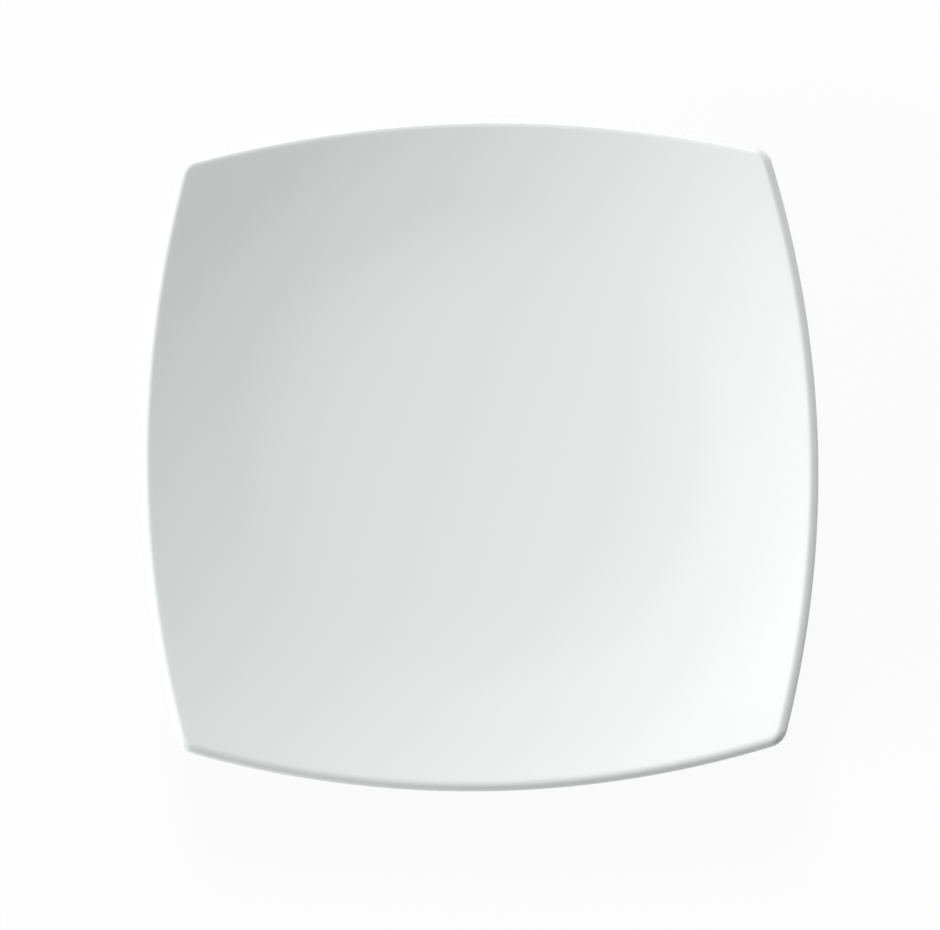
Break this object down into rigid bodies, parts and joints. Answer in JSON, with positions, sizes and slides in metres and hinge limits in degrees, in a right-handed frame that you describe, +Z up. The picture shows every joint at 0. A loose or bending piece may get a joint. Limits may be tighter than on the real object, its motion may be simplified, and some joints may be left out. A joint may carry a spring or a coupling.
{
  "type": "square dinner plate",
  "caption": "Square coupe dinner plate in white glazed porcelain, with bowed sides, rounded upswept corners, a sloping rim, a shallow round well and a bare foot ring.",
  "frame": {"origin": "middle of the foot ring's standing face, on the surface that the plate rests on", "axes": "+Z up out of the dish, +X to the right and -Y toward the viewer in the picture, both square to the plate's sides"},
  "size_m": [0.27, 0.27, 0.0314],
  "materials": {
    "bare_porcelain": "matte, ground smooth on the standing face",
    "white_glaze": "clear gloss over white"
  },
  "bodies": {
    "root": {"porcelain_body": "bare_porcelain", "outer_glaze": "white_glaze", "recess_glaze": "white_glaze"}
  },
  "joints": []
}
